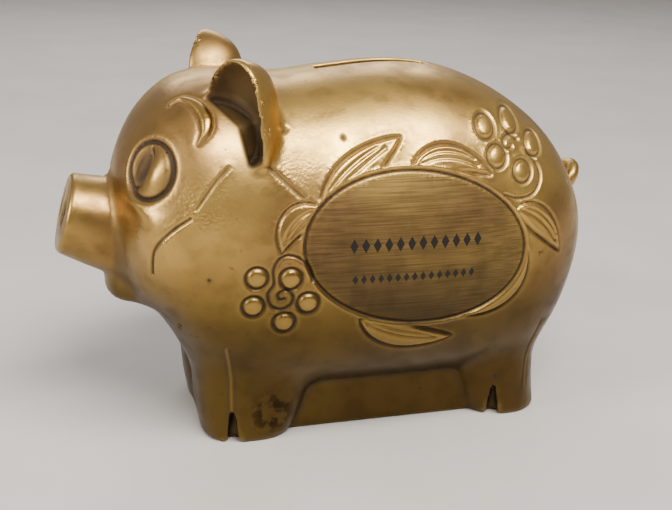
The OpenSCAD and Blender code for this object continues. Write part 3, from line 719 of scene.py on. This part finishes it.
# ---------------------------------------------------------------- materials
class Graph:
    """A material and short ways to add nodes to it."""

    def __init__(self, name):
        self.material = bpy.data.materials.new(name)
        self.material.use_nodes = True
        self.tree = self.material.node_tree
        self.shader = self.tree.nodes["Principled BSDF"]
        place = self.node("ShaderNodeTexCoord")
        self.place = self.scaled(place.outputs["Object"], (1 / MM,) * 3)
        self.axis = self.node("ShaderNodeSeparateXYZ", Vector=self.place).outputs

    def node(self, kind, **values):
        made = self.tree.nodes.new(kind)
        for key, value in values.items():
            self.feed(made.inputs[key], value)
        return made

    def feed(self, socket, value):
        if isinstance(value, bpy.types.NodeSocket):
            self.tree.links.new(value, socket)
        else:
            socket.default_value = value

    def math(self, operation, *values, clamp=False):
        made = self.tree.nodes.new("ShaderNodeMath")
        made.operation, made.use_clamp = operation, clamp
        for socket, value in zip(made.inputs, values):
            self.feed(socket, value)
        return made.outputs[0]

    def scaled(self, vector, scale):
        made = self.tree.nodes.new("ShaderNodeVectorMath")
        made.operation = "MULTIPLY"
        self.feed(made.inputs[0], vector)
        self.feed(made.inputs[1], scale)
        return made.outputs[0]

    def mix(self, share, a, b):
        made = self.tree.nodes.new("ShaderNodeMix")
        made.data_type = "RGBA"
        self.feed(made.inputs["Factor"], share)
        self.feed(made.inputs["A"], a if isinstance(a, bpy.types.NodeSocket) else (*a, 1))
        self.feed(made.inputs["B"], b if isinstance(b, bpy.types.NodeSocket) else (*b, 1))
        return made.outputs["Result"]

    def noise(self, size, detail=3.0, stretch=(1, 1, 1)):
        """Noise with features about size mm across."""
        vector = self.scaled(self.place, tuple(k / size for k in stretch))
        return self.node("ShaderNodeTexNoise", Vector=vector, Scale=1.0, Detail=detail).outputs["Fac"]

    def ramp(self, value, low, high, start=0.0, end=1.0):
        made = self.node("ShaderNodeMapRange", Value=value)
        made.interpolation_type = "SMOOTHSTEP"
        for key, number in (("From Min", low), ("From Max", high), ("To Min", start), ("To Max", end)):
            made.inputs[key].default_value = number
        return made.outputs["Result"]

    def layer(self, name):
        made = self.tree.nodes.new("ShaderNodeAttribute")
        made.attribute_name = name
        return made.outputs["Fac"]

    def bump(self, height, strength, distance, normal=None):
        made = self.node("ShaderNodeBump", Height=height, Strength=strength, Distance=distance * MM)
        if normal is not None:
            self.feed(made.inputs["Normal"], normal)
        return made.outputs["Normal"]


BRASS_LIGHT, BRASS_WARM = (0.68, 0.44, 0.12), (0.44, 0.26, 0.085)
# The first colour is the dark olive of the blotches and the oval plate, and also painted shade on the
# lower half; the second darkens grime, stains, cut lines and pits, and is also painted shade in the
# ear's cup, the nostrils, the snout's crease and the eye's pit.
BRASS_OLIVE, PATINA_AND_SHADE = (0.040, 0.025, 0.008), (0.022, 0.012, 0.005)
INK = (0.012, 0.009, 0.007)
# Each printed row: its two ends, the height of its middle, its pitch and half its height
ROWS = ((-5.6, 34.0, 65.0, 3.3, 2.3), (-4.6, 32.3, 55.2, 2.46, 1.5))
# Spots of the side view, (x, z, size): the front leg's stain; the stippled cheek, shoulder, mouth
STAIN = (-23.5, 9.5, 9)
STIPPLED = ((-44, 77, 9), (-20, 87, 10), (-57, 62, 8))


def near_spot(g, x, z, size):
    """1 at a spot of the side view, fading to 0 at size mm from it."""
    dx = g.math("SUBTRACT", g.axis["X"], x)
    dz = g.math("SUBTRACT", g.axis["Z"], z)
    far = g.math("SQRT", g.math("ADD", g.math("MULTIPLY", dx, dx), g.math("MULTIPLY", dz, dz)))
    return g.ramp(far, size * 0.35, size, 1, 0)


def lozenges(g, x0, x1, z0, pitch, half_h):
    """A printed row of lozenges between x0 and x1, its middle at height z0."""
    along = g.math("SUBTRACT", g.axis["X"], x0)
    turn = g.math("FRACT", g.math("DIVIDE", along, pitch))
    phase = g.math("ABSOLUTE", g.math("SUBTRACT", turn, 0.5))
    rise = g.math("DIVIDE", g.math("ABSOLUTE", g.math("SUBTRACT", g.axis["Z"], z0)), half_h)
    shape = g.math("LESS_THAN", g.math("ADD", g.math("MULTIPLY", phase, 2.6), rise), 0.92)
    inside = g.math("MULTIPLY", g.math("GREATER_THAN", g.axis["X"], x0),
                    g.math("LESS_THAN", g.axis["X"], x1))
    return g.math("MULTIPLY", shape, inside)


def printed(g):
    """The oval's plain printed ornament: a row of lozenges over a smaller row."""
    upper, lower = (lozenges(g, *row) for row in ROWS)
    return g.math("MULTIPLY", g.math("MAXIMUM", upper, lower), g.layer("oval"))


def antique_brass():
    g = Graph("antique_brass")
    dark, worn, oval = g.layer("dark"), g.layer("worn"), g.layer("oval")
    cloud, blotch = g.noise(34, 2), g.noise(7, 4)
    grain, pits = g.noise(0.9, 4), g.noise(2.6, 5)
    brushed = g.noise(1.0, 4, (0.05, 1.2, 2.6))
    # Darker towards the bottom: painted shade and painted dark reflection on the lower half of the
    # casting.
    low = g.ramp(g.axis["Z"], 84, 36)
    colour = g.mix(g.ramp(cloud, 0.36, 0.66), BRASS_LIGHT, BRASS_WARM)
    colour = g.mix(g.math("MULTIPLY", low, 0.9), colour, BRASS_OLIVE)
    colour = g.mix(g.ramp(blotch, 0.42, 0.72, 0, 0.28), colour, BRASS_OLIVE)
    colour = g.mix(g.math("MULTIPLY", oval, g.ramp(brushed, 0.35, 0.7, 0.1, 0.55)), colour, BRASS_OLIVE)
    colour = g.mix(g.math("MULTIPLY", worn, 0.5), colour, BRASS_LIGHT)
    grime = g.ramp(pits, 0.66, 0.8, 0, 0.55)
    stain = g.math("MULTIPLY", near_spot(g, *STAIN), g.ramp(g.noise(3.4, 4), 0.42, 0.56))
    grime = g.math("MAXIMUM", grime, g.math("MULTIPLY", stain, 0.75))
    # Mixes toward the darkest tone: grime, stains and cut lines, and painted shade in the ear's cup,
    # the nostrils, the snout's crease and the eye's pit.
    colour = g.mix(g.math("MAXIMUM", g.math("MULTIPLY", dark, 0.93), grime, clamp=True), colour, PATINA_AND_SHADE)
    ink = printed(g)
    colour = g.mix(ink, colour, INK)
    g.feed(g.shader.inputs["Base Color"], colour)
    # Dark places, painted shade among them, and ink are made less metallic.
    metallic_share = g.math("MULTIPLY_ADD", g.math("MAXIMUM", dark, ink), -0.6, 1.0, clamp=True)
    g.feed(g.shader.inputs["Metallic"], metallic_share)
    rough = g.ramp(blotch, 0.3, 0.75, 0.30, 0.46)
    rough = g.math("MULTIPLY_ADD", g.math("MAXIMUM", dark, grime), 0.3, rough)
    rough = g.math("MULTIPLY_ADD", worn, -0.07, rough)
    g.feed(g.shader.inputs["Roughness"], g.math("MULTIPLY_ADD", oval, 0.05, rough, clamp=True))
    cheek, shoulder, mouth = (near_spot(g, *spot) for spot in STIPPLED)
    stipple = g.math("MAXIMUM", g.math("MAXIMUM", cheek, shoulder), mouth)
    rough_cast = g.math("MULTIPLY", g.noise(0.9, 3), g.math("MULTIPLY_ADD", stipple, 1.0, 0.12))
    normal = g.bump(rough_cast, 0.5, 0.28)
    normal = g.bump(grain, 0.25, 0.06, normal)
    lines = g.math("MULTIPLY", brushed, oval)
    g.feed(g.shader.inputs["Normal"], g.bump(lines, 0.3, 0.12, normal))
    return g.material


def plated(name, colour, shade, rough, brush, grain_size=1.2):
    """A plated or plain metal sheet or fitting with fine brushing, blotches and grime."""
    g = Graph(name)
    blotch, lines = g.noise(6, 4), g.noise(grain_size, 4, brush)
    tone = g.mix(g.ramp(blotch, 0.35, 0.7, 0, 0.7), colour, shade)
    tone = g.mix(g.ramp(lines, 0.3, 0.75, 0, 0.35), tone, shade)
    spots = g.ramp(g.noise(1.8, 5), 0.68, 0.8, 0, 0.5)
    tone = g.mix(spots, tone, tuple(k * 0.3 for k in shade))
    g.feed(g.shader.inputs["Base Color"], tone)
    g.shader.inputs["Metallic"].default_value = 1.0
    polish = g.ramp(blotch, 0.3, 0.75, rough, rough + 0.15)
    g.feed(g.shader.inputs["Roughness"], g.math("ADD", polish, spots))
    g.feed(g.shader.inputs["Normal"], g.bump(lines, 0.25, 0.08, g.bump(g.noise(0.5, 3), 0.15, 0.04)))
    return g.material


def paint_fittings():
    steel = plated("plated_steel", (0.50, 0.49, 0.46), (0.33, 0.31, 0.28), 0.30, (0.06, 1.6, 1.6))
    zinc = plated("zinc_plate", (0.60, 0.60, 0.60), (0.42, 0.42, 0.43), 0.26, (1.2, 1.2, 1.2))
    yellow = plated("plug_brass", (0.66, 0.50, 0.22), (0.48, 0.34, 0.14), 0.24, (1.4, 1.4, 0.3), 0.8)
    spring = plated("spring_steel", (0.42, 0.41, 0.40), (0.26, 0.25, 0.25), 0.28, (1, 1, 1), 0.5)
    looks = {steel: ("base_plate", "hatch_door", "lock_cam"),
             zinc: ("base_screws", "hinge_pin", "lock_barrel", "barrel_washer", "barrel_nut",
                    "cam_washer", "cam_screw"),
             yellow: ("lock_plug", "wafer_1", "wafer_2", "wafer_3", "wafer_4"),
             spring: ("wafer_springs",)}
    for material, names in looks.items():
        for name in names:
            dress_node(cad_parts[name], material)


def dress_node(node, material):
    node.data.materials.clear()
    node.data.materials.append(material)


# ---------------------------------------------------------------- stage, light and camera
TARGET, CAMERA_FAR = Vector((2.5, 0, 48.1)), 350.0
AZIMUTH, ELEVATION, ROLL = math.radians(-16.2), math.radians(19.6), math.radians(1.7)
LENS = 60.05


def build_floor():
    n, far = 48, 2.4
    line = np.linspace(-far, far, n)
    x, y = np.meshgrid(line, line, indexing="ij")
    points = np.stack([x.ravel(), y.ravel(), np.zeros(n * n)], 1)
    i = np.arange(n * n).reshape(n, n)
    quads = np.stack([i[:-1, :-1], i[1:, :-1], i[1:, 1:], i[:-1, 1:]], -1).reshape(-1, 4)
    floor = make_mesh("floor", points / MM, quads, {})
    g = Graph("floor")
    tone = g.mix(g.ramp(g.noise(60, 3), 0.3, 0.7), (0.60, 0.57, 0.545), (0.56, 0.535, 0.51))
    g.feed(g.shader.inputs["Base Color"], tone)
    g.shader.inputs["Roughness"].default_value = 0.75
    floor.data.materials.append(g.material)


def add_light(name, place, size, power, colour=(1, 1, 1)):
    lamp = bpy.data.lights.new(name, "AREA")
    lamp.shape, lamp.size, lamp.size_y = "RECTANGLE", size[0], size[1]
    lamp.energy, lamp.color = power, colour
    made = bpy.data.objects.new(name, lamp)
    made.location = place
    made.rotation_euler = (Vector((0, 0, 0.05)) - Vector(place)).to_track_quat("-Z", "Y").to_euler()
    bpy.context.scene.collection.objects.link(made)


def build_light():
    world = bpy.data.worlds.new("world")
    world.use_nodes = True
    back = world.node_tree.nodes["Background"]
    back.inputs["Color"].default_value = (0.86, 0.80, 0.76, 1)
    back.inputs["Strength"].default_value = 0.4
    bpy.context.scene.world = world
    add_light("top_light", (0.10, -0.40, 0.72), (0.60, 0.24), 11.0, (1, 0.96, 0.9))
    add_light("left_light", (-0.75, -0.22, 0.40), (0.3, 0.4), 4.5, (1, 0.97, 0.93))
    add_light("back_light", (0.1, 0.8, 0.6), (0.8, 0.4), 3.5, (0.97, 0.97, 1))


def build_camera():
    ca, sa, ce, se = math.cos(AZIMUTH), math.sin(AZIMUTH), math.cos(ELEVATION), math.sin(ELEVATION)
    back = Vector((sa * ce, -ca * ce, se))
    right = (-back).cross(Vector((0, 0, 1))).normalized()
    up = right.cross(-back)
    side = right * math.cos(ROLL) + up * math.sin(ROLL)
    rise = up * math.cos(ROLL) - right * math.sin(ROLL)
    lens = bpy.data.cameras.new("camera")
    lens.sensor_width, lens.lens = 36.0, LENS
    lens.clip_start, lens.clip_end = 0.01, 20
    camera = bpy.data.objects.new("camera", lens)
    turn = Matrix((side, rise, back)).transposed().to_4x4()
    camera.matrix_world = Matrix.Translation((TARGET + back * CAMERA_FAR) * MM) @ turn
    bpy.context.scene.collection.objects.link(camera)
    bpy.context.scene.camera = camera


dress_node(build_casting(), antique_brass())
paint_fittings()
build_floor()
build_light()
build_camera()
